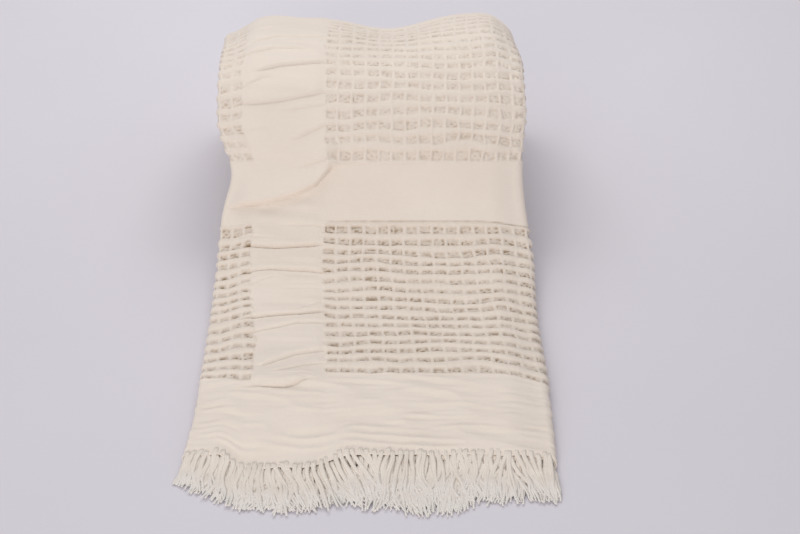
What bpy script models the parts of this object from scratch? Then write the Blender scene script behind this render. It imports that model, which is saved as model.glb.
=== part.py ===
"""A folded throw blanket, draped in a low hump: eight leaves of one cloth, their folds and fringes.

The cloth is folded in half across its length, which brings both fringed ends together. Its long
edges are then folded in to the middle, and the whole is folded in half along its length, so that
it lies eight leaves thick. The long strip lies on a table at the front, climbs over a hump, and
comes down to the table again at the back. Units are metres, +Z is up and the fringe is at -Y.
"""

import math

import bmesh
import bpy
from mathutils import Vector

# The weave, which sets how long the cloth is.
CELL_ALONG = 0.01625  # one waffle cell, along the length
ROWS_PER_BLOCK = 16
MIDDLE_BAND = 0.068  # smooth cloth between two waffle blocks
END_BAND = 0.114  # smooth cloth between the last waffle block and the fringe
CLOTH_BLOCKS = 5  # waffle blocks from end to end

# The folded strip.
FOLDED_WIDTH = 0.342  # a quarter of the cloth's width, over its folds
HEM_SPREAD = 0.019  # how much wider the smooth end lies
HEM_STEP = 0.002  # how far each leaf's end lies in front of the one above
WAFFLE_LEAF = 0.0031  # thickness of one leaf of waffle cloth
SMOOTH_LEAF = 0.0015  # thickness of one leaf of smooth cloth
LEAF_GAP = 0.0003  # air between two leaves
LEAVES = 8

# The fringe.
FRINGE_LENGTH = 0.070  # from the heading to the tips
HEADING = 0.004  # the stitched row that the bunches leave from
BUNCH_PITCH = 0.0145  # each bunch here stands for about three thinner ones
BUNCH_WIDTH = 0.0015
BUNCH_TIP = 0.0010  # thickness of a bunch at its tip
FRINGE_SPLAY = 0.06  # how far the bunches fan out, as a share of their distance from the middle

# The drape. Each run of the underside is its length and the slope it turns to, in degrees, from
# the foot of the hump in front to the back of its top. The rest of the length lies on the table.
CLIMB = (
    (0.045, 5),
    (0.055, 10),
    (0.042, 16),
    (0.042, 39),
    (0.037, 58),
    (0.030, 65),
    (0.030, 62),
    (0.030, 49),
    (0.035, 28),
    (0.035, 13),
    (0.030, 7),
    (0.025, -5),
    (0.074, -24),
)
BACK_SLOPE = -82  # the strip hangs nearly straight down behind
BACK_BEND = 0.060  # radius of the underside over the back of the hump

TURN_PER_STEP = 12  # degrees that the strip may turn between two stations
LONGEST_STEP = 0.06  # metres between two stations where it is straight
FOLD_FACETS = 8  # facets round the outermost fold

half_length = (
    END_BAND
    + (CLOTH_BLOCKS / 2) * ROWS_PER_BLOCK * CELL_ALONG
    + ((CLOTH_BLOCKS - 1) / 2) * MIDDLE_BAND
)


def drape_runs():
    """The underside as (length, slope at its end in degrees), from the front hem to the back end."""
    back_turn = math.radians(CLIMB[-1][1] - BACK_SLOPE)
    over = [*CLIMB, (BACK_BEND * back_turn, BACK_SLOPE)]
    steep = math.radians(-BACK_SLOPE)
    end_turn = WAFFLE_LEAF + LEAF_GAP / 2  # radius of the folds across the back end
    end_height = (end_turn + LEAF_GAP) * math.sin(steep) - end_turn * math.cos(steep)
    over.append(((walk(over)[-1][1] - end_height) / math.sin(steep), BACK_SLOPE))
    front = half_length - sum(length for length, _ in over)
    return [(front, 0.0), *over]


def walk(runs):
    """Stations along the runs as (distance back, height, slope in radians, length so far)."""
    back, height, slope, gone = 0.0, 0.0, 0.0, 0.0
    stations = [(back, height, slope, gone)]
    for length, end_degrees in runs:
        turn = math.radians(end_degrees) - slope
        steps = max(
            math.ceil(abs(math.degrees(turn)) / TURN_PER_STEP), math.ceil(length / LONGEST_STEP), 1
        )
        for _ in range(steps):
            middle = slope + turn / steps / 2
            chord = length / steps
            if abs(turn) > 1e-9:
                chord *= math.sin(abs(turn) / steps / 2) / (abs(turn) / steps / 2)
            back += chord * math.cos(middle)
            height += chord * math.sin(middle)
            slope += turn / steps
            gone += length / steps
            stations.append((back, height, slope, gone))
    return stations


stations = walk(drape_runs())
front_reach = (LEAVES - 1) * HEM_STEP + HEADING + FRINGE_LENGTH + LEAF_GAP
strip_depth = LEAVES * WAFFLE_LEAF + (LEAVES - 1) * LEAF_GAP
rearmost = max(back - math.sin(slope) * strip_depth for back, _, slope, _ in stations)
BACK_SHIFT = (front_reach - rearmost) / 2  # puts the middle of the whole length over the origin


def leaf_thickness(gone):
    """The cloth is thin at its smooth end, and has its waffle thickness by the first block."""
    share = min(max(gone / END_BAND, 0.0), 1.0)
    return SMOOTH_LEAF + (WAFFLE_LEAF - SMOOTH_LEAF) * share


def leaf_bottom(number, gone):
    """Height of a leaf's lower face above the underside. Leaf 1 is at the top, 8 at the bottom."""
    return (LEAVES - number) * (leaf_thickness(gone) + LEAF_GAP)


def leaf_top(number, gone):
    return leaf_bottom(number, gone) + leaf_thickness(gone)


def half_width(gone):
    """Half the folded strip's width, which spreads towards the hem."""
    block_end = END_BAND + ROWS_PER_BLOCK * CELL_ALONG
    share = 1 - min(max(gone / block_end, 0.0), 1.0)
    return (FOLDED_WIDTH + HEM_SPREAD * share) / 2


def strip_thickness(gone):
    return leaf_top(1, gone)


def place(across, station, above, ahead=0.0):
    """A point of the draped strip: across it, at a station, above its underside, and further on."""
    back, height, slope, _ = station
    y = back + ahead * math.cos(slope) - above * math.sin(slope)
    z = height + ahead * math.sin(slope) + above * math.cos(slope)
    return Vector((across, y + BACK_SHIFT, z))


def front_station(reach):
    """The first station, moved forward by that reach over the table."""
    back, height, slope, gone = stations[0]
    return (back - reach, height, slope, gone)


def stations_of(number):
    """A leaf's stations: the lower it lies, the further its end reaches in front."""
    reach = (number - 1) * HEM_STEP
    return [front_station(reach), *stations] if reach else stations


def cotton(name):
    """Undyed cotton: cream, dull and without any shine of metal."""
    material = bpy.data.materials.new(name)
    material.use_nodes = True
    shader = material.node_tree.nodes["Principled BSDF"]
    shader.inputs["Base Color"].default_value = (0.78, 0.71, 0.62, 1.0)
    shader.inputs["Roughness"].default_value = 0.9
    shader.inputs["Metallic"].default_value = 0.0
    return material


def add_object(name, data):
    obj = bpy.data.objects.new(name, data)
    obj.data.materials.append(cotton(f"{name}_cotton"))
    throw.objects.link(obj)


def thick_sheet(name, columns, rows, corner):
    """A sheet of cloth as one closed solid: a flat grid, extruded, then laid where corner says.

    corner(column, row, is_upper) gives the place of a grid point on the lower or upper face.
    """
    sheet = bmesh.new()
    bmesh.ops.create_grid(sheet, x_segments=columns, y_segments=rows, size=0.5)
    lower = list(sheet.verts)
    bmesh.ops.extrude_face_region(sheet, geom=sheet.faces[:])
    upper = [vert for vert in sheet.verts if vert not in set(lower)]
    bmesh.ops.translate(sheet, verts=upper, vec=(0, 0, 1))
    bmesh.ops.recalc_face_normals(sheet, faces=sheet.faces[:])
    for vert in sheet.verts:
        column, row = round((vert.co.x + 0.5) * columns), round((vert.co.y + 0.5) * rows)
        vert.co = corner(column, row, vert.co.z > 0.5)
    if sheet.calc_volume(signed=True) < 0:
        bmesh.ops.reverse_faces(sheet, faces=sheet.faces[:])
    data = bpy.data.meshes.new(name)
    sheet.to_mesh(data)
    sheet.free()
    return data


def right_flat_edge(gone):
    """Where the flat leaves end and the spine fold begins."""
    return half_width(gone) - strip_thickness(half_length) / 2


def left_flat_edge(gone):
    """Where the flat leaves end and the two left folds begin."""
    return -half_width(gone) + strip_thickness(half_length) / 4


def leaf(name, number):
    """One flat leaf, from its hem to the back end."""
    own = stations_of(number)

    def corner(column, row, is_upper):
        station = own[row]
        gone = station[3]
        ends = (left_flat_edge(gone) + LEAF_GAP / 2, right_flat_edge(gone) - LEAF_GAP / 2)
        above = leaf_top(number, gone) if is_upper else leaf_bottom(number, gone)
        return place(ends[column], station, above)

    add_object(name, thick_sheet(name, 1, len(own) - 1, corner))


def side_fold(name, first, last, side, rounds_inside):
    """The cloth's turn from leaf first down to leaf last, at the right or left edge of the strip."""
    facets = FOLD_FACETS if last - first > LEAVES / 2 else FOLD_FACETS - 2
    own = stations_of(first)

    def corner(column, row, is_upper):
        station = own[row]
        gone = station[3]
        angle = math.pi * (0.5 - column / facets)
        leaf_now = leaf_thickness(gone)
        middle = (leaf_bottom(last, gone) + leaf_top(first, gone)) / 2
        semi_height = (leaf_top(first, gone) - leaf_bottom(last, gone)) / 2
        edge = right_flat_edge(gone) if side > 0 else left_flat_edge(gone)
        reach = abs(half_width(gone) - abs(edge))
        reach -= rounds_inside * (WAFFLE_LEAF + LEAF_GAP)
        if not is_upper:
            semi_height -= leaf_now
            reach -= WAFFLE_LEAF
        across = edge + side * (LEAF_GAP / 2 + (reach - LEAF_GAP / 2) * math.cos(angle))
        return place(across, station, middle + semi_height * math.sin(angle))

    add_object(name, thick_sheet(name, facets, len(own) - 1, corner))


def end_fold(name, first):
    """The turn across the back end that joins leaf first to the one under it."""
    facets = FOLD_FACETS - 2
    station = stations[-1]
    gone = station[3]
    ends = (left_flat_edge(gone) + LEAF_GAP / 2, right_flat_edge(gone) - LEAF_GAP / 2)
    middle = (leaf_bottom(first + 1, gone) + leaf_top(first, gone)) / 2
    outer = (leaf_top(first, gone) - leaf_bottom(first + 1, gone)) / 2

    def corner(column, row, is_upper):
        angle = math.pi * (0.5 - column / facets)
        radius = outer if is_upper else LEAF_GAP / 2
        above = middle + radius * math.sin(angle)
        ahead = LEAF_GAP + radius * math.cos(angle)
        return place(ends[row], station, above, ahead)

    add_object(name, thick_sheet(name, facets, 1, corner))


def fringe(name, number):
    """A leaf's stitched heading and the bunches of warp ends that hang from it, as one comb."""
    spread = half_width(0.0)
    bunches = int((2 * spread - BUNCH_PITCH) / BUNCH_PITCH)
    shift = (number - (LEAVES + 1) / 2) / LEAVES
    centres = [(i - (bunches - 1) / 2 + shift) * BUNCH_PITCH for i in range(bunches)]
    edges = [-spread]
    for centre in centres:
        edges += [centre - BUNCH_WIDTH / 2, centre + BUNCH_WIDTH / 2]
    edges.append(spread)
    bottom, top = leaf_bottom(number, 0.0), leaf_top(number, 0.0)
    start = front_station((number - 1) * HEM_STEP)

    def corner(column, row, is_upper):
        ahead = -LEAF_GAP - (0.0 if row else HEADING)
        return place(edges[column], start, top if is_upper else bottom, ahead)

    data = thick_sheet(name, len(edges) - 1, 1, corner)
    comb = bmesh.new()
    comb.from_mesh(data)
    front_y = place(0, start, 0, -LEAF_GAP - HEADING).y
    bunch_faces = [
        face
        for face in comb.faces
        if all(abs(v.co.y - front_y) < 1e-6 for v in face.verts)
        and min(abs(face.calc_center_median().x - c) for c in centres) < BUNCH_WIDTH / 4
    ]
    level_run = HEM_STEP + LEAF_GAP * 2
    for face in bunch_faces:
        for run, low, high in (
            (level_run, bottom, top),
            (FRINGE_LENGTH, LEAF_GAP, LEAF_GAP + BUNCH_TIP),
        ):
            face = bmesh.ops.extrude_discrete_faces(comb, faces=[face])["faces"][0]
            middle = face.calc_center_median()
            for vert in face.verts:
                vert.co.z = high if vert.co.z > middle.z else low
                vert.co.y = front_y - run
    for vert in comb.verts:
        vert.co.x *= 1 + FRINGE_SPLAY * (BACK_SHIFT - vert.co.y) / FRINGE_LENGTH
    comb.to_mesh(data)
    comb.free()
    add_object(name, data)


for old in list(bpy.data.objects):
    bpy.data.objects.remove(old, do_unlink=True)
throw = bpy.data.collections.new("folded_throw")
bpy.context.scene.collection.children.link(throw)

leaf_names = (
    "leaf_1_cover",
    "leaf_2_cover_lining",
    "leaf_3_upper_flap_lining",
    "leaf_4_upper_flap",
    "leaf_5_lower_flap",
    "leaf_6_lower_flap_lining",
    "leaf_7_base_lining",
    "leaf_8_base",
)
for number, leaf_name in enumerate(leaf_names, start=1):
    leaf(leaf_name, number)
    fringe(f"fringe_{number}", number)

side_fold("spine_fold_outer", 1, 8, 1, 0)
side_fold("spine_fold_inner", 2, 7, 1, 1)
side_fold("upper_edge_fold_outer", 1, 4, -1, 0)
side_fold("upper_edge_fold_inner", 2, 3, -1, 1)
side_fold("lower_edge_fold_outer", 5, 8, -1, 0)
side_fold("lower_edge_fold_inner", 6, 7, -1, 1)
for number in (1, 3, 5, 7):
    end_fold(f"end_fold_{number}_{number + 1}", number)
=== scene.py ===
import math

import bpy
import numpy as np
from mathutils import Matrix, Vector


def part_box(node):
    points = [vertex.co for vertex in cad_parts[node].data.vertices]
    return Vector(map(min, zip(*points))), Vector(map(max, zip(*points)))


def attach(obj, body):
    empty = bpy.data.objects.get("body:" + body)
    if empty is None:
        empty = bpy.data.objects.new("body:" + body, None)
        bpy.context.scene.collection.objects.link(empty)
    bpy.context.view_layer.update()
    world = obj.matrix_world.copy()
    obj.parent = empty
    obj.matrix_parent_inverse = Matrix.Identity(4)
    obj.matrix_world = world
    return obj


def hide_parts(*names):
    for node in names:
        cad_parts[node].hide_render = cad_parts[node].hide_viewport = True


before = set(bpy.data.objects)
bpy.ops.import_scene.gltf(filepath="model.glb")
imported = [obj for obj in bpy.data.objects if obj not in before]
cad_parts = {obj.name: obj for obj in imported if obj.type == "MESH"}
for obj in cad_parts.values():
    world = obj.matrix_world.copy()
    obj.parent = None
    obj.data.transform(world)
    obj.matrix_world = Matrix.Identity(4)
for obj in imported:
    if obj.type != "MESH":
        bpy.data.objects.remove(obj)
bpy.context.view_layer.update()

# The view: a long lens a step back from the table, looking down on the fringed end of the throw.
LOOK_DOWN = math.radians(32)
LENS_TO_HEM = 1.797  # along the view
LENS_RISE, LENS_RIGHT = 0.181, 0.029

hem_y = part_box("leaf_1_cover")[0][1]  # the cover's own hem lies here
forward = Vector((0, math.cos(LOOK_DOWN), -math.sin(LOOK_DOWN)))
upward = Vector((0, math.sin(LOOK_DOWN), math.cos(LOOK_DOWN)))
lens_place = Vector((LENS_RIGHT, hem_y, 0.0141)) - LENS_TO_HEM * forward + LENS_RISE * upward
bpy.ops.object.camera_add(location=lens_place, rotation=(math.pi / 2 - LOOK_DOWN, 0, 0))
camera = bpy.context.object
camera.data.lens = 83.25
bpy.context.scene.camera = camera
bpy.context.scene.view_settings.view_transform = "Standard"

# The table: a plain pale board with a fine, matt grain, and the studio's soft light over it. The
# main light hangs over the hump, and a lower one stands in front.
KEY_WATTS, FILL_WATTS, SKY = 16.5, 35, 0.44


class Socket:
    """A shader value that adds and multiplies as a number does."""

    def __init__(self, tree, link):
        self.tree = tree
        self.link = link

    def maths(self, operation, first, second):
        return node(self.tree, "ShaderNodeMath", {"operation": operation}, {0: first, 1: second})

    def __add__(self, other):
        return self.maths("ADD", self, other)

    def __mul__(self, other):
        return self.maths("MULTIPLY", self, other)

    def __rsub__(self, other):
        return self.maths("SUBTRACT", other, self)

    __radd__ = __add__
    __rmul__ = __mul__


def node(tree, kind, settings, inputs, output=0):
    """One shader node: its settings first, then the values or links of its sockets."""
    made = tree.nodes.new(kind)
    for name, value in settings.items():
        setattr(made, name, value)
    for name, value in inputs.items():
        if isinstance(value, Socket):
            tree.links.new(value.link, made.inputs[name])
        else:
            made.inputs[name].default_value = value
    return Socket(tree, made.outputs[output])


def blend(tree, share, first, second):
    """One colour that turns into another as share goes from 0 to 1."""
    return node(tree, "ShaderNodeMix", {"data_type": "RGBA"}, {0: share, 6: first, 7: second}, output=2)


bpy.ops.object.select_all(action="DESELECT")
bpy.ops.mesh.primitive_plane_add(size=12, location=(0, 2, 0))
table = bpy.context.object
table.name = "table"
table_finish = bpy.data.materials.new("pale_board")
table_finish.use_nodes = True
tree = table_finish.node_tree
board = tree.nodes["Principled BSDF"]
where = node(tree, "ShaderNodeTexCoord", {}, {}, output=3)
grain = node(tree, "ShaderNodeTexNoise", {}, {"Vector": where, "Scale": 3.0, "Detail": 4.0})
tint = blend(tree, grain, (0.690, 0.660, 0.705, 1), (0.725, 0.695, 0.740, 1))
tree.links.new(tint.link, board.inputs["Base Color"])
board.inputs["Roughness"].default_value = 0.65
board.inputs["Specular IOR Level"].default_value = 0.2
table.data.materials.append(table_finish)


def softbox(name, place, aim, size, watts):
    bpy.ops.object.light_add(type="AREA", location=place)
    lamp = bpy.context.object
    lamp.name = name
    lamp.data.size = size
    lamp.data.energy = watts
    lamp.rotation_euler = (Vector(aim) - Vector(place)).to_track_quat("-Z", "Y").to_euler()


softbox("key_softbox", (-0.1, 0.9, 1.5), (0, 0.1, 0.05), 1.6, KEY_WATTS)
softbox("front_softbox", (-0.5, -2.6, 0.72), (0, 0.05, 0.05), 1.2, FILL_WATTS)
world = bpy.data.worlds.new("studio")
bpy.context.scene.world = world
world.use_nodes = True
world.node_tree.nodes["Background"].inputs["Color"].default_value = (0.97, 0.97, 1.0, 1)
world.node_tree.nodes["Background"].inputs["Strength"].default_value = SKY


# The cover: the leaf that shows, with the folds it turns round on the left and at the spine. The
# throw is undyed cotton, woven in blocks of waffle with smooth bands between them and one smooth
# stripe along its length. It is folded eight leaves thick, lies flat at its fringed end, climbs
# over a hump and drops behind it.
LEAVES = 8
WAFFLE_LEAF, SMOOTH_LEAF, LEAF_GAP = 0.0031, 0.0015, 0.0003
CLOTH = 0.0009  # the weave's own thickness, without its relief
END_BAND, BLOCK, MIDDLE_BAND = 0.114, 0.260, 0.068
ROW, COLUMN, LEFT_COLUMN = 0.01625, 0.0150, 0.0125  # the waffle's cells
CORD_HEIGHT, RIB_HEIGHT, TUFT_HEIGHT = 0.0036, 0.0025, 0.0012  # above the bottom of a pit
PIT_DEPTH = 0.0022  # below the smooth cloth
HALF_LENGTH = 0.900
HALF_WIDTH = 0.171
EDGE_PRESSED = 0.27  # how much thinner the folded edges are than the middle
FLAP = 0.96  # how much of the strip's width a folded-in flap covers
HEM_STEP = 0.002  # each leaf's hem lies this far in front of the one above it
CLIMB = (
    # (length, the slope in degrees that the strip has turned to at its end)
    (0.045, 5),
    (0.055, 10),
    (0.042, 16),
    (0.042, 39),
    (0.037, 58),
    (0.030, 65),
    (0.030, 62),
    (0.030, 49),
    (0.035, 28),
    (0.035, 13),
    (0.030, 7),
    (0.025, -5),
    (0.074, -24),
)
BACK_SLOPE, BACK_BEND = -82, 0.060
END_TURN = WAFFLE_LEAF + LEAF_GAP / 2  # radius of the turns at the back end
STRIPE_LEFT, STRIPE_RIGHT = -0.117, -0.047
BLOCK_STARTS = tuple(END_BAND + (BLOCK + MIDDLE_BAND) * number for number in range(3))


def side_view():
    """The underside of the strip, seen from the side: lengths, places, heights and slopes."""
    turns = [*CLIMB, (BACK_BEND * math.radians(CLIMB[-1][1] - BACK_SLOPE), BACK_SLOPE)]
    slopes = [0, *(slope for _, slope in turns)]
    knots = np.cumsum([0, *(length for length, _ in turns)])
    fine = np.linspace(0, knots[-1], 2000)
    rise = np.sin(np.radians(np.interp((fine[1:] + fine[:-1]) / 2, knots, slopes)))
    steep = math.radians(-BACK_SLOPE)
    end_height = (END_TURN + LEAF_GAP) * math.sin(steep) - END_TURN * math.cos(steep)
    drop = ((rise * np.diff(fine)).sum() - end_height) / math.sin(steep)
    front = HALF_LENGTH - knots[-1] - drop
    gone = np.linspace(0, HALF_LENGTH, 3601)
    slope = np.radians(np.interp(gone, [0, *(front + knots)], [0, *slopes]))
    middle, step = (slope[1:] + slope[:-1]) / 2, np.diff(gone)
    back = np.cumsum([0, *(step * np.cos(middle))])
    up = np.cumsum([0, *(step * np.sin(middle))])
    return gone, back + hem_y, up, slope


def strip_depth(gone):
    leaf = SMOOTH_LEAF + (WAFFLE_LEAF - SMOOTH_LEAF) * np.clip(gone / END_BAND, 0, 1)
    return LEAVES * leaf + (LEAVES - 1) * LEAF_GAP


path_gone, path_y, path_z, path_slope = side_view()
full_depth = strip_depth(HALF_LENGTH)
over_y = path_y - np.sin(path_slope) * strip_depth(path_gone)
over_z = path_z + np.cos(path_slope) * strip_depth(path_gone)
cover_length = np.cumsum([0, *np.hypot(np.diff(over_y), np.diff(over_z))])


def ease(low, high, value):
    """0 below low, 1 above high, and a smooth climb between."""
    share = np.clip((value - low) / (high - low), 0, 1)
    return share * share * (3 - 2 * share)


def hill(value, middle, spread):
    return np.exp(-(((value - middle) / spread) ** 2))


def drift(a, b, seed):
    """Smooth chance heights from -1 to 1 that change over about one unit of a and of b."""
    cell_a, cell_b = np.floor(a), np.floor(b)
    share_a, share_b = a - cell_a, b - cell_b
    share_a = share_a * share_a * (3 - 2 * share_a)
    share_b = share_b * share_b * (3 - 2 * share_b)

    def corner(step_a, step_b):
        mixed = np.sin((cell_a + step_a) * 127.1 + (cell_b + step_b) * 311.7 + seed * 74.7) * 43758.5453
        return 2 * (mixed - np.floor(mixed)) - 1

    near = corner(0, 0) * (1 - share_a) + corner(1, 0) * share_a
    far = corner(0, 1) * (1 - share_a) + corner(1, 1) * share_a
    return near * (1 - share_b) + far * share_b


def left_half(along):
    """How far the left edge lies from the middle line."""
    notch = 0.012 * hill(along, 0.430, 0.032)
    swell = 0.008 * np.exp(-along / 0.05) + 0.005 * ease(0.44, 0.50, along)
    return 0.175 + swell + 0.004 * ease(0.63, 0.72, along) - notch


def right_half(along):
    waist = 0.008 * hill(along, 0.440, 0.060)
    swell = 0.0045 * (1 - ease(0.10, 0.25, along)) + 0.002 * hill(along, 0.34, 0.05)
    return 0.177 + swell - waist - 0.005 * ease(0.48, 0.56, along) - 0.006 * ease(0.58, 0.66, along)


def sunk(x, along):
    """How far the hump's top has sunk, in its unsupported middle and at its edges."""
    top = ease(0.54, 0.69, along) * (1 - ease(0.76, 0.90, along))
    middle = 0.004 + 0.021 * hill(x, 0.014, 0.060) + 0.007 * hill(x, -0.095, 0.050)
    edges = 0.022 * ease(0.105, 0.195, -x) ** 1.3 + 0.028 * ease(0.135, 0.190, x) ** 1.2
    return top * (middle + edges)


def pressed(across):
    """How much of the edges' flattening has come in, from 0 in the middle to 1 at the edges."""
    return ease(0.125, 0.165, np.abs(across)) ** 1.3


def drape(across, gone, above):
    """Places on the strip, from the distance across it, the length gone along it and the height."""
    along = np.interp(gone, path_gone, cover_length)
    x = across * np.where(across < 0, left_half(along), right_half(along)) / HALF_WIDTH
    slope = np.interp(gone, path_gone, path_slope)
    past = np.maximum(gone - HALF_LENGTH, 0)
    y = np.interp(gone, path_gone, path_y) - above * np.sin(slope) + past * np.cos(slope)
    z = np.interp(gone, path_gone, path_z) + past * np.sin(slope)
    front = 1 - ease(0, 0.10, gone)
    slack = front * ease(-0.152, -0.120, x) * (1 - ease(-0.075, -0.010, x))
    ragged = 0.0010 * drift(x / 0.0065, x * 0, 72) * (1 - ease(0, 0.006, gone))
    ragged = 0.0025 * drift(x / 0.045, x * 0, 71) + ragged
    y = y + np.minimum(gone, 0) - 0.019 * slack - front * ragged
    z = z + above * np.cos(slope) * (1 - 0.30 * slack) - sunk(x, along)
    return np.stack([x, y, z], axis=-1)


def section(place, gone, inset):
    """Where cloth lies in the folded strip's cross-section: distance across, height above the
    underside, the outward direction, and the distance round from the cover's middle line. Place
    counts leaves and turns: 0 to 1 is the upper flap, 2 to 3 the cover, 3 to 4 the spine, 4 to 5
    the base and 6 to 7 the lower flap, with a left turn before 2 and another after 5."""
    depth = strip_depth(gone)
    edge = depth * (1 - EDGE_PRESSED)
    spine, turn = edge / 2 - inset, edge / 4 - LEAF_GAP / 4 - inset
    right, left = HALF_WIDTH - edge / 2, HALF_WIDTH - edge / 4
    width = left + right
    flap_a, turn_a, top, turn_b, base, turn_c, flap_b = (np.clip(place - start, 0, 1) for start in range(7))
    angle_a, angle_b, angle_c = math.pi * turn_a, math.pi * turn_b, math.pi * turn_c
    across = -left + width * (FLAP * (1 - flap_a) + top - base + FLAP * flap_b)
    across = across - turn * (np.sin(angle_a) + np.sin(angle_c)) + spine * np.sin(angle_b)
    above = edge / 2 + LEAF_GAP / 2 + inset + turn * (2 - np.cos(angle_a) - np.cos(angle_c))
    above = above - spine * (1 - np.cos(angle_b))
    local = depth - (depth - edge) * pressed(across)
    out_across = np.sin(angle_b) - np.sin(angle_a) - np.sin(angle_c)
    out_above = -np.cos(angle_a) * np.cos(angle_b) * np.cos(angle_c)
    around = width * (top + base - FLAP * (1 - flap_a) + FLAP * flap_b) - left
    around = around + turn * (angle_a - math.pi + angle_c) + spine * angle_b
    return across, above * local / edge, out_across, out_above, around


OUTER_HEMS = (6, 0, 0, 14, 14, 8)  # mm that the hem lies in front, at places 1 to 6 of the outer layer
FLATTENED = 0.0011  # how far the throw's weight presses the relief in, underneath


def lay_outer(place, along, relief):
    """Places of the outer layer, lifted outwards by the relief. Past the back end it curls in."""
    curl = np.maximum(along - cover_length[-1], 0) / END_TURN
    gone = np.interp(along, cover_length, path_gone) + END_TURN * np.sin(curl)
    gone = gone - 0.001 * np.interp(place, range(1, 7), OUTER_HEMS) * (1 - ease(0, 0.06, along))
    across, above, out_across, out_above, around = section(place, gone, END_TURN * (1 - np.cos(curl)))
    lift, pit = relief(around, along)
    lift = lift * np.cos(np.minimum(curl, math.pi / 2))
    under = ease(3.4, 4, place)
    lift = lift * (1 - under) + np.minimum(lift - FLATTENED, 0) * under
    places = drape(across + lift * out_across, gone, above + lift * out_above)
    return places, np.stack([around, along], axis=-1), pit


def stripe_left(along):
    return STRIPE_LEFT - 0.016 * ease(0.12, 0.34, along) - 0.009 * ease(0.36, 0.50, along)


def stripe_right(along):
    return STRIPE_RIGHT - 0.010 * ease(0.12, 0.34, along) + 0.003 * ease(0.42, 0.50, along)


def waffle(around, along):
    """The waffle's relief, the painted shade in its pits, and how much of it is waffle at all.
    Thick cords run across the cloth and thinner ribs along it, with tufted pits between them."""
    from_right, from_left = around - stripe_right(along), stripe_left(along) - around
    beside = np.maximum(from_right, from_left)
    dragged = 0.014 * ease(-0.001, 0, from_left) * (1 - ease(0.004, 0.045, from_left))
    dragged = (dragged + 0.006 * ease(0.10, 0.17, around)) * (1 - ease(0.10, 0.20, along))
    in_block = np.full(along.shape, -1.0)
    for start in BLOCK_STARTS:
        place = along - start + (dragged if start == END_BAND else 0)
        in_block = np.where((place > 0) & (place < BLOCK), place, in_block)
    inner = ease(0, 0.03, in_block) * ease(0, 0.03, BLOCK - in_block)
    waver = 0.0055 * drift(around / 0.085, in_block / 0.060, 3)
    waver = waver + 0.0030 * drift(around / 0.034, in_block / 0.026, 4)
    waver = inner * waver + 0.0013 * drift(around / 0.014, along / 0.013, 5)
    woven = ease(0, 0.002, in_block) * ease(0, 0.002, BLOCK - in_block)
    in_block = np.where(in_block > 0, in_block + waver, in_block)
    ragged = 0.0022 * drift(along / 0.010, from_right * 0, 12)
    woven = woven * ease(0, 0.0016, beside + ragged)
    to_row = in_block - ROW * np.round(in_block / ROW)
    pitch = np.where(from_right > from_left, COLUMN, LEFT_COLUMN)
    beside = beside + 0.0019 * drift(around / 0.018, along / 0.014, 8)
    to_column = beside - pitch * np.round(beside / pitch)
    gather = 0.5 + 0.5 * drift(around / 0.10, in_block / 0.024, 9)
    front = along < 0.4
    open_row = np.where(front, ease(0.19, 0.235, in_block), ease(0.17, 0.04, in_block))
    tight = np.clip(0.35 + 0.65 * gather - 0.7 * open_row, 0, 1)
    fat = 1 + 0.20 * drift(around / 0.017, along / 0.012, 11)
    cord = 1 - np.clip(np.abs(to_row) / ((0.0050 + 0.0014 * tight) * fat), 0, 1) ** 2.6
    rib = 1 - np.clip(np.abs(to_column) / (0.0027 * fat), 0, 1) ** 2
    pit = (1 - ease(0, 0.75, cord)) * (1 - ease(0, 0.85, rib))
    deep_x, deep_y = np.abs(to_column) - pitch / 2, np.abs(to_row) - ROW / 2
    cell_across, cell_along = np.floor(beside / pitch), np.floor(in_block / ROW)
    chance = drift(cell_across * 1.7, cell_along * 2.3, 27)
    kept = ease(-0.75, 0.15, drift(cell_across * 2.9, cell_along * 1.9, 28))
    curl = hill(np.hypot(deep_x * 0.8, deep_y * 1.25), 0.0027, 0.0011) * (0.75 + 0.6 * chance)
    tuft = 0.9 * curl + 0.6 * drift(around / 0.0034, along / 0.0027, 21)
    tuft = tuft + 0.5 * drift(around / 0.0019, along / 0.0017, 22)
    cord_height, rib_height = CORD_HEIGHT * np.where(front, 1, 0.72), RIB_HEIGHT - 0.0012 * tight
    raised = np.maximum(cord_height * cord, rib_height * rib) + TUFT_HEIGHT * tuft * pit
    raised = raised + 0.0003 * drift(around / 0.0024, along / 0.012, 25) * cord
    # Painted shade in the pits: darkest towards each pit's near side and where the tufts lie low, weaker in
    # the top block, over an even base of painted shade (0.05 in front, 0.02 on top) across each waffle
    # block.
    lower = 0.55 + 0.45 * ease(-0.0015, 0.0025, to_row - 0.25 * ROW * (to_row > 0) - 0.0012)
    painted_pit_shade = 0.16 + (1.05 + 0.35 * chance) * (0.35 + 0.65 * kept) * lower * ease(0.25, -0.30, tuft)
    pit = np.where(front, 0.05 + pit * painted_pit_shade, 0.02 + 0.34 * pit * painted_pit_shade)
    return woven * (raised - PIT_DEPTH), woven * pit, woven


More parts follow.
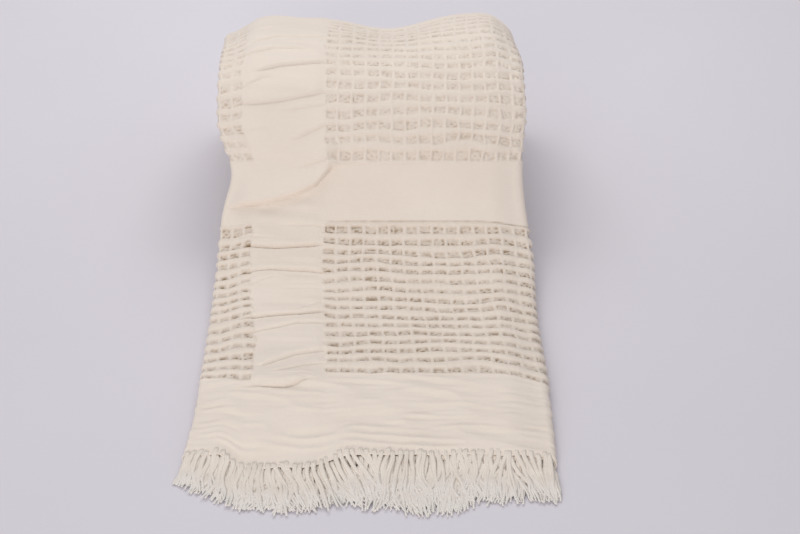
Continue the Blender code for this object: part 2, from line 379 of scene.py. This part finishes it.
# Folds pushed up in the smooth stripe, where the waffle beside it has shrunk: a line of (distance
# across, length from the hem), then the crease's depth, the fold's height and the fold's width.
CREASES = (
    (((-0.124, 0.097), (-0.105, 0.095), (-0.085, 0.096), (-0.064, 0.106)), 0.0026, 0.0042, 0.020),
    (((-0.095, 0.118), (-0.072, 0.128), (-0.050, 0.135)), 0.0016, 0.0018, 0.009),
    (((-0.110, 0.130), (-0.078, 0.150), (-0.048, 0.160)), 0.0018, 0.0040, 0.020),
    (((-0.136, 0.190), (-0.108, 0.197), (-0.078, 0.208), (-0.050, 0.208)), 0.0018, 0.0030, 0.011),
    (((-0.136, 0.218), (-0.110, 0.223), (-0.075, 0.225), (-0.052, 0.232)), 0.0028, 0.0040, 0.012),
    (((-0.080, 0.232), (-0.052, 0.248)), 0.0012, 0.0016, 0.006),
    (((-0.090, 0.272), (-0.055, 0.273)), 0.0009, 0.0012, 0.006),
    (((-0.085, 0.281), (-0.055, 0.281)), 0.0008, 0.0010, 0.005),
    (((-0.136, 0.279), (-0.105, 0.292)), 0.0012, 0.0026, 0.013),
    (((-0.140, 0.300), (-0.095, 0.303), (-0.052, 0.299)), 0.0024, 0.0036, 0.012),
    (((-0.140, 0.344), (-0.108, 0.340), (-0.060, 0.344)), 0.0030, 0.0052, 0.015),
    (((-0.140, 0.356), (-0.115, 0.352)), 0.0014, 0.0020, 0.008),
    (((-0.092, 0.371), (-0.050, 0.370)), 0.0012, 0.0016, 0.008),
    (
        # the big fold that sweeps across the stripe into the smooth band
        (
            (-0.158, 0.394),
            (-0.137, 0.394),
            (-0.115, 0.397),
            (-0.092, 0.406),
            (-0.069, 0.417),
            (-0.050, 0.437),
        ),
        0.0013,
        0.0100,
        0.030,
    ),
    (((-0.088, 0.438), (-0.050, 0.450)), 0.0010, 0.0016, 0.008),
    (((-0.085, 0.470), (-0.052, 0.485)), 0.0013, 0.0024, 0.013),
    (((-0.142, 0.481), (-0.115, 0.481)), 0.0008, 0.0014, 0.009),
    (((-0.140, 0.510), (-0.108, 0.513), (-0.085, 0.518), (-0.055, 0.523)), 0.0016, 0.0030, 0.014),
    (((-0.092, 0.502), (-0.052, 0.510)), 0.0010, 0.0016, 0.008),
    (((-0.142, 0.532), (-0.120, 0.544)), 0.0012, 0.0020, 0.010),
    (((-0.125, 0.552), (-0.100, 0.560), (-0.055, 0.566)), 0.0018, 0.0036, 0.014),
    (((-0.142, 0.582), (-0.110, 0.592), (-0.080, 0.590)), 0.0012, 0.0024, 0.013),
    (((-0.142, 0.606), (-0.110, 0.618), (-0.055, 0.622)), 0.0009, 0.0020, 0.013),
    (((-0.120, 0.650), (-0.090, 0.652), (-0.065, 0.650)), 0.0008, 0.0016, 0.012),
)


def folds(around, along):
    """Height of the stripe's folds above even cloth, and the painted shade along the creases between them.
    """
    height, crease_shade = np.zeros(along.shape), np.zeros(along.shape)
    for line, depth, rise, width in CREASES:
        across, place = np.array(line).T
        wander = 0.0012 * drift(around / 0.018, np.full_like(around, rise * 1e4), 31)
        distance = along - np.interp(around, across, place) - wander
        reach = ease(across[0] - 0.014, across[0] + 0.010, around)
        reach = reach * (1 - ease(across[-1] - 0.010, across[-1] + 0.014, around))
        over, before = np.maximum(distance, 0), np.maximum(-distance, 0)
        swell = 1.2 * (1 - np.exp(-over / 0.0032)) * np.exp(-over / width)
        valley = 0.5 * before / 0.004 * np.exp(1 - before / 0.004) + hill(distance, 0, 0.0012)
        height = height + reach * (rise * swell - 0.75 * depth * valley)
        # Painted shade in each crease's narrow valley, standing in for the shadow there.
        crease_shade = np.maximum(crease_shade, reach * min(1, 260 * depth - 0.2) * hill(distance, -0.0004, 0.0011))
    inside = ease(-0.004, 0.010, around - stripe_left(along))
    inside = inside * ease(-0.004, 0.010, stripe_right(along) - around)
    gathers = 0.0009 * drift(around / 0.040, along / 0.009 + around / 0.09, 41) * (along > END_BAND)
    return height + inside * (gathers + 0.0010), crease_shade


def crinkle(around, along):
    """Slight wrinkles of the smooth bands: many near the hem, few in the bands between blocks."""
    limp = 0.10 + 1.15 * (1 - ease(0.10, 0.13, along))
    ridges = 1 - 2 * np.abs(drift(around / 0.055, along / 0.011 + around / 0.10, 51))
    ridges = ridges * (1 - 0.8 * ease(0.11, 0.16, np.abs(around)))
    height = 0.00110 * ridges + 0.00060 * drift(around / 0.022, along / 0.0042, 52)
    return limp * height + 0.0010 * drift(around / 0.09, along / 0.05, 53)


def cover_relief(around, along):
    relief, pit, woven = waffle(around, along)
    # A fine groove along the front waffle block's upper border, with painted shade along it.
    border_crease = hill(along, 0.3762 - 0.003 * ease(0.11, 0.17, around), 0.0009) * ease(-0.055, -0.045, around)
    folded, crease_shade = folds(around, along)
    relief = relief + folded + (1 - woven) * crinkle(around, along) - 0.0009 * border_crease
    # Painted shade of the creases and the groove, added to the pits' painted shade.
    shadow = 0.45 * crease_shade + (0.5 + 0.3 * drift(around / 0.006, along, 54)) * border_crease
    return relief, np.clip(pit + shadow, 0, 1)


def grid_piece(name, columns, rows, lay):
    """A flat grid whose points go where lay(share across, share along) says, with its cloth map."""
    bpy.ops.object.select_all(action="DESELECT")
    bpy.ops.mesh.primitive_grid_add(x_subdivisions=columns, y_subdivisions=rows, size=1)
    piece = bpy.context.object
    piece.name = piece.data.name = name
    flat = np.empty(len(piece.data.vertices) * 3)
    piece.data.vertices.foreach_get("co", flat)
    flat = flat.reshape(-1, 3)[:, :2] + 0.5
    places, cloth_map, pit = lay(flat[:, 0], flat[:, 1])
    piece.data.vertices.foreach_set("co", places.ravel())
    corners = np.empty(len(piece.data.loops), dtype=np.int64)
    piece.data.loops.foreach_get("vertex_index", corners)
    piece.data.uv_layers[0].name = "cloth"
    piece.data.uv_layers[0].data.foreach_set("uv", cloth_map[corners].ravel())
    # The pit attribute holds painted shade for the pits, creases and groove.
    piece.data.attributes.new("pit", "FLOAT", "POINT").data.foreach_set("value", pit)
    piece.data.update()
    bpy.ops.object.shade_smooth()
    piece.data.materials.append(cloth_finish)
    solid = piece.modifiers.new("thickness", "SOLIDIFY")
    solid.thickness = CLOTH
    solid.offset = -1
    bpy.ops.object.modifier_apply(modifier=solid.name)
    bpy.ops.object.shade_smooth_by_angle(angle=math.radians(80))
    return piece


def cotton_cloth(name):
    """Undyed cotton: warm cream and matt, with slubby yarns, and painted shade, dark and yellow-brown, in
    its pits, creases and groove.
    """
    material = bpy.data.materials.new(name)
    material.use_nodes = True
    tree = material.node_tree
    shader = tree.nodes["Principled BSDF"]
    cloth = node(tree, "ShaderNodeUVMap", {"uv_map": "cloth"}, {})
    pit = node(tree, "ShaderNodeAttribute", {"attribute_name": "pit"}, {}, output=2)

    def threads(scale, detail):
        way = node(tree, "ShaderNodeMapping", {}, {"Vector": cloth, "Scale": scale})
        return node(tree, "ShaderNodeTexNoise", {}, {"Vector": way, "Scale": 1.0, "Detail": detail})

    weft, warp = threads((160, 900, 1), 3.0), threads((1100, 220, 1), 2.0)
    cloud = threads((14, 14, 1), 2.0)
    cream = blend(tree, cloud, (0.780, 0.680, 0.590, 1), (0.850, 0.755, 0.665, 1))
    slubby = blend(tree, weft * 0.25, cream, (0.640, 0.545, 0.455, 1))
    # Painted shade: the pit attribute darkens the cream towards dark yellow-brown.
    shaded = blend(tree, pit, slubby, (0.300, 0.195, 0.095, 1))
    tree.links.new(shaded.link, shader.inputs["Base Color"])
    rough = 0.86 + weft * 0.1
    tree.links.new(rough.link, shader.inputs["Roughness"])
    shader.inputs["Specular IOR Level"].default_value = 0.25
    shader.inputs["Sheen Weight"].default_value = 0.25
    shader.inputs["Sheen Roughness"].default_value = 0.6
    height = weft * 0.6 + warp * 0.5
    bump = node(tree, "ShaderNodeBump", {}, {"Height": height, "Strength": 0.35, "Distance": 0.0006})
    tree.links.new(bump.link, shader.inputs["Normal"])
    return material


cloth_finish = cotton_cloth("undyed_waffle_cotton")


def place_round(distance):
    """Place in the cross-section at a distance round the outer layer, at the strip's full depth."""
    edge = full_depth * (1 - EDGE_PRESSED)
    width = 2 * HALF_WIDTH - edge * 3 / 4
    turn, spine = math.pi * (edge - LEAF_GAP) / 4, math.pi * edge / 2
    knots = np.cumsum([0, FLAP * width, turn, width, spine, width, turn, FLAP * width])
    return np.interp(distance, knots - knots[2] - HALF_WIDTH + edge / 4, range(8))


def outer_piece(name, sides, ends, quad, relief, nodes):
    """One woven zone of the outer layer, between two distances round it and two from its hem."""
    quad = quad
    columns, rows = (max(4, round((span[1] - span[0]) / quad)) for span in (sides, ends))

    def lay(share_across, share_along):
        place = place_round(sides[0] + share_across * (sides[1] - sides[0]))
        return lay_outer(place, ends[0] + share_along * (ends[1] - ends[0]), relief)

    piece = grid_piece(name, columns, rows, lay)
    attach(piece, "root")
    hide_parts(*nodes)
    if ends[0] > 0:  # zones past the hem: the length below is worked out and not used
        ends[1] - ends[0]


COVER_SIDES = (-0.190, 0.212)
cover_end = cover_length[-1]
top_start = BLOCK_STARTS[1]
cover_zones = (
    ("cover_end_band", (0, END_BAND), 0.0014),
    ("cover_front_waffle_low", (END_BAND, END_BAND + BLOCK / 2), 0.00115),
    ("cover_front_waffle_high", (END_BAND + BLOCK / 2, END_BAND + BLOCK), 0.00115),
    ("cover_middle_band", (END_BAND + BLOCK, top_start), 0.0014),
    ("cover_top_waffle_low", (top_start, top_start + BLOCK / 2), 0.00115),
    ("cover_top_waffle_high", (top_start + BLOCK / 2, top_start + BLOCK), 0.00115),
    ("cover_back_band", (top_start + BLOCK, BLOCK_STARTS[2]), 0.0018),
    ("cover_back_waffle", (BLOCK_STARTS[2], cover_end + 1.7 * END_TURN), 0.0014),
)
cover_nodes = ("leaf_1_cover", "upper_edge_fold_outer", "spine_fold_outer")
for zone, ends, quad in cover_zones:
    outer_piece(zone, COVER_SIDES, ends, quad, cover_relief, cover_nodes)

# The base: the same outer layer where it comes round from the spine, lies on the table and turns
# up at the left. Its waffle shows under the hump and along the sides.
BASE_SIDES = (COVER_SIDES[1], 0.5395)


def base_relief(around, along):
    relief, pit, woven = waffle(around, along)
    return np.minimum(relief + (1 - woven) * (crinkle(around, along) - 0.001), 0), pit


base_zones = (
    ("base_end_band", (0, END_BAND), 0.0025),
    ("base_front_waffle", (END_BAND, END_BAND + BLOCK), 0.0020),
    ("base_middle_band", (END_BAND + BLOCK, top_start), 0.0025),
    ("base_top_waffle", (top_start, top_start + BLOCK), 0.0020),
    ("base_back_band", (top_start + BLOCK, BLOCK_STARTS[2]), 0.0025),
    ("base_back_waffle", (BLOCK_STARTS[2], cover_end + 1.7 * END_TURN), 0.0020),
)
base_nodes = ("leaf_8_base", "lower_edge_fold_outer")
for zone, ends, quad in base_zones:
    outer_piece(zone, BASE_SIDES, ends, quad, base_relief, base_nodes)

# The flaps: the throw's long edges, folded in from the left so that they meet inside the strip.
# Only their hems show, at the fringed end.


def flap_relief(around, along):
    return np.full(along.shape, -0.0004), np.zeros(along.shape)


flaps = (
    ("upper_flap", (-0.500, COVER_SIDES[0]), "leaf_4_upper_flap"),
    ("lower_flap", (BASE_SIDES[1], 0.860), "leaf_5_lower_flap"),
)
for flap, sides, leaf in flaps:
    outer_piece(flap, sides, (0, cover_end), 0.0055, flap_relief, (leaf,))

# The lining: the throw's other half, which lies against the outer layer all the way round, because
# both ends of the throw were brought together before it was folded. Its own hem shows in front.
LINING_HEMS = (4, 2, 2, 12, 12, 10)
LINING_COLUMNS = (54, 8, 56, 12, 56, 8, 54)  # in each leaf and each turn


def lay_lining(share_across, share_along):
    place = np.interp(share_across, np.cumsum([0, *LINING_COLUMNS]) / sum(LINING_COLUMNS), range(8))
    along = share_along * cover_end
    gone = np.interp(along, cover_length, path_gone)
    leaf = (strip_depth(gone) - (LEAVES - 1) * LEAF_GAP) / LEAVES
    gone = gone - 0.001 * np.interp(place, range(1, 7), LINING_HEMS) * (1 - ease(0, 0.06, along))
    across, above, _, _, around = section(place, gone, leaf + LEAF_GAP)
    return drape(across, gone, above), np.stack([around, along], axis=-1), np.zeros(along.shape)


lining = grid_piece("lining", sum(LINING_COLUMNS), 150, lay_lining)
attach(lining, "root")
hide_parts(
    "leaf_2_cover_lining",
    "leaf_3_upper_flap_lining",
    "leaf_6_lower_flap_lining",
    "leaf_7_base_lining",
    "upper_edge_fold_inner",
    "spine_fold_inner",
    "lower_edge_fold_inner",
)

# The end folds: four turns across the hidden back end, where each outer leaf goes round and comes
# back as the lining beside it.
TURN_LEG = 0.004  # how far each turn's cloth is followed along its two leaves
TURN_INSET = 0.004  # how far each turn stops short of the strip's edges
TURN_STRAIGHT, TURN_CORNER = 0.158, 0.0101  # its straight part, from the middle, and its rounded end


def lay_turn(share_across, share_round, middle):
    across = (share_across - 0.5) * 2 * (HALF_WIDTH - TURN_INSET)
    corner = np.sqrt(1 - (np.maximum(np.abs(across) - TURN_STRAIGHT, 0) / TURN_CORNER) ** 2)
    radius = (END_TURN - CLOTH - 0.0003) * corner
    round_turn = share_round * (math.pi * radius + 2 * TURN_LEG) - TURN_LEG
    angle = np.clip(round_turn / radius, 0, math.pi)
    legs = np.minimum(round_turn, 0) - np.maximum(round_turn - math.pi * radius, 0)
    height = (middle + radius * np.cos(angle)) * (1 - EDGE_PRESSED * pressed(across))
    places = drape(across, HALF_LENGTH + radius * np.sin(angle) + legs, height)
    return places, np.stack([across, cover_end + round_turn], axis=-1), np.zeros(across.shape)


for upper in range(1, LEAVES, 2):
    middle = (LEAVES - upper) * (WAFFLE_LEAF + LEAF_GAP) - LEAF_GAP / 2
    leaves = f"{upper}_{upper + 1}"
    turn = grid_piece(f"end_turn_{leaves}", 120, 16, lambda a, b, level=middle: lay_turn(a, b, level))
    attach(turn, "root")
    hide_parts(f"end_fold_{leaves}")

# The fringe: the throw's own warp ends, left loose beyond a stitched heading at the hem of each
# leaf. They hang in small bunches of soft, slightly twisted yarns that fall to the table and lie
# there, wavy and clumped together.
BUNCHES, YARNS = 56, 2  # bunches on each leaf, and yarns in a bunch
YARN_LENGTH, YARN_RADIUS = 0.056, 0.00145
YARN_RINGS = 17  # edge loops along a yarn
APART = 4  # between two repeats of a yarn of radius 1, before each is laid in its place

yarn_finish = bpy.data.materials.new("loose_cotton_yarn")
yarn_finish.use_nodes = True
tree = yarn_finish.node_tree
shader = tree.nodes["Principled BSDF"]
yarn_map = node(tree, "ShaderNodeUVMap", {"uv_map": "yarn"}, {})
twist_turn = {"Vector": yarn_map, "Scale": (2, 90, 1), "Rotation": (0, 0, 0.02)}
twist_way = node(tree, "ShaderNodeMapping", {}, twist_turn)
twist = node(tree, "ShaderNodeTexNoise", {}, {"Vector": twist_way, "Scale": 1.0, "Detail": 2.0})
where = node(tree, "ShaderNodeTexCoord", {}, {}, output=3)
tuftiness = node(tree, "ShaderNodeTexNoise", {}, {"Vector": where, "Scale": 60.0, "Detail": 2.0})
cotton = blend(tree, tuftiness, (0.690, 0.605, 0.520, 1), (0.815, 0.745, 0.670, 1))
to_tip = node(tree, "ShaderNodeAttribute", {"attribute_name": "to_tip"}, {}, output=2)
yarn_colour = blend(tree, to_tip, cotton, (0.765, 0.715, 0.670, 1))
tree.links.new(yarn_colour.link, shader.inputs["Base Color"])
shader.inputs["Roughness"].default_value = 0.9
shader.inputs["Specular IOR Level"].default_value = 0.2
shader.inputs["Sheen Weight"].default_value = 0.3
bump = node(tree, "ShaderNodeBump", {}, {"Height": twist, "Strength": 0.4, "Distance": 0.0004})
tree.links.new(bump.link, shader.inputs["Normal"])


def lay_yarn(row, yarn, share):
    """Places along the yarns of one row, from the leaf's hem (share 0) to their tips (share 1)."""
    bunch, of_bunch = np.floor(yarn / YARNS), yarn % YARNS - (YARNS - 1) / 2
    chance = drift(bunch, bunch * 0 + row, 61)
    step = 2 * (HALF_WIDTH - 0.003) / BUNCHES
    root = (bunch + 0.5 - BUNCHES / 2 + 0.30 * chance) * step
    inside = (0.0030 + 0.0030 * drift(bunch * 1.3, bunch * 0, 69)) * (row == 1)
    gone = inside - HEM_STEP * (row - 1)
    leaf = (LEAVES - row + 0.96) * strip_depth(0) / LEAVES
    squeeze = 1 - EDGE_PRESSED * pressed(root)
    over = cover_relief(root, gone)[0] + 0.0004 if row == 1 else 0
    start = drape(root, gone, leaf * squeeze + over)
    uneven = 1 + 0.14 * drift(bunch * 0.37, bunch * 0 + row, 62)
    uneven = uneven + 0.09 * drift(yarn * 1.9, yarn * 0 + row, 63)
    reach = 1 - 0.36 * ease(0.125, 0.165, -root) + 0.55 * hill(root, 0.050, 0.075) * ease(3, 6, row)
    length = (YARN_LENGTH - 0.0026 * (row - 1)) * uneven * reach
    out = share * length
    inner = 1 - ease(0.145, 0.172, np.abs(start[:, 0]))
    lean = 0.55 * inner * drift(bunch * 0.19 + row * 5.3, bunch * 0, 64) * ease(0, 0.03, out)
    wave = 0.0048 * drift(bunch * 0.62 + row * 3, out / 0.024, 65) * ease(0, 0.016, out)
    stray = 0.0010 * drift(yarn * 1.7 + row, out / 0.013, 66) * ease(0.004, 0.03, out)
    left_splay = 0.26 * ease(0.150, 0.172, -start[:, 0])
    right_splay = 0.06 * ease(0.140, 0.175, start[:, 0])
    fray = ease(0.6, 1, share) * (1 + drift(bunch * 1.1, bunch * 0 + row, 70))
    spread = of_bunch * (0.0016 + 0.0022 * fray)
    x = start[:, 0] + spread + (lean + right_splay - left_splay) * out + wave + stray
    rest = 0.0009 + 0.0007 * (LEAVES - row) * (1 - 0.8 * share)  # on the table, or on lower rows
    rest = rest + 0.0008 * (1 + drift(bunch * 0.8, out / 0.02, 67))
    fall = 1 - ease(-0.001, 0.012 + 1.2 * (start[:, 2] - 0.001), out - inside)
    z = rest + (start[:, 2] - rest) * fall
    y = start[:, 1] - out * (1 - 0.25 * fall - 0.18 * (left_splay + lean * lean)) + 0.0035
    return np.stack([x, y, z], axis=-1)


def fringe_row(row):
    """One leaf's fringe: a single yarn, repeated along the hem and laid strand by strand."""
    bpy.ops.object.select_all(action="DESELECT")
    bpy.ops.mesh.primitive_cylinder_add(vertices=5, radius=1, depth=1, location=(0, 0, 0.5))
    piece = bpy.context.object
    piece.name = piece.data.name = f"fringe_row_{row}"
    piece.data.uv_layers[0].name = "yarn"
    bpy.ops.object.transform_apply(location=True)
    bpy.ops.object.mode_set(mode="EDIT")
    bpy.ops.mesh.select_mode(type="EDGE")
    bpy.ops.mesh.select_all(action="DESELECT")
    bpy.ops.object.mode_set(mode="OBJECT")
    for edge in piece.data.edges:
        ends = [piece.data.vertices[corner].co.z for corner in edge.vertices]
        edge.select = abs(ends[0] - ends[1]) > 0.5
    bpy.ops.object.mode_set(mode="EDIT")
    bpy.ops.mesh.subdivide(number_cuts=YARN_RINGS - 2)
    bpy.ops.object.mode_set(mode="OBJECT")
    repeat = piece.modifiers.new("along_the_hem", "ARRAY")
    repeat.count = BUNCHES * YARNS
    repeat.use_relative_offset = False
    repeat.use_constant_offset = True
    repeat.constant_offset_displace = (APART, 0, 0)
    bpy.ops.object.modifier_apply(modifier=repeat.name)
    flat = np.empty(len(piece.data.vertices) * 3)
    piece.data.vertices.foreach_get("co", flat)
    flat = flat.reshape(-1, 3)
    yarn = np.round(flat[:, 0] / APART)
    side, lift, share = flat[:, 0] - APART * yarn, flat[:, 1], flat[:, 2]
    centre = lay_yarn(row, yarn, share)
    heading = lay_yarn(row, yarn, share + 0.02) - lay_yarn(row, yarn, share - 0.02)
    heading /= np.linalg.norm(heading, axis=1, keepdims=True)
    sideways = np.cross(heading, [0, 0, 1.0])
    sideways /= np.linalg.norm(sideways, axis=1, keepdims=True)
    upright = np.cross(sideways, heading)
    radius = YARN_RADIUS * (1 - 0.45 * ease(0.70, 1, share))
    radius = (radius * (1 + 0.25 * drift(yarn * 1.3, share * 9, 68)))[:, None]
    places = centre + radius * (1.25 * sideways * side[:, None] + 0.8 * upright * lift[:, None])
    places[:, 2] = np.maximum(places[:, 2], 0.0002)
    piece.data.vertices.foreach_set("co", places.ravel())
    to_tip = piece.data.attributes.new("to_tip", "FLOAT", "POINT")
    to_tip.data.foreach_set("value", ease(0.35, 1, share))
    piece.data.update()
    bpy.ops.object.shade_smooth()
    piece.data.materials.append(yarn_finish)
    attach(piece, "root")
    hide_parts(f"fringe_{row}")
    return piece


fringe = {row: fringe_row(row) for row in range(1, LEAVES + 1)}
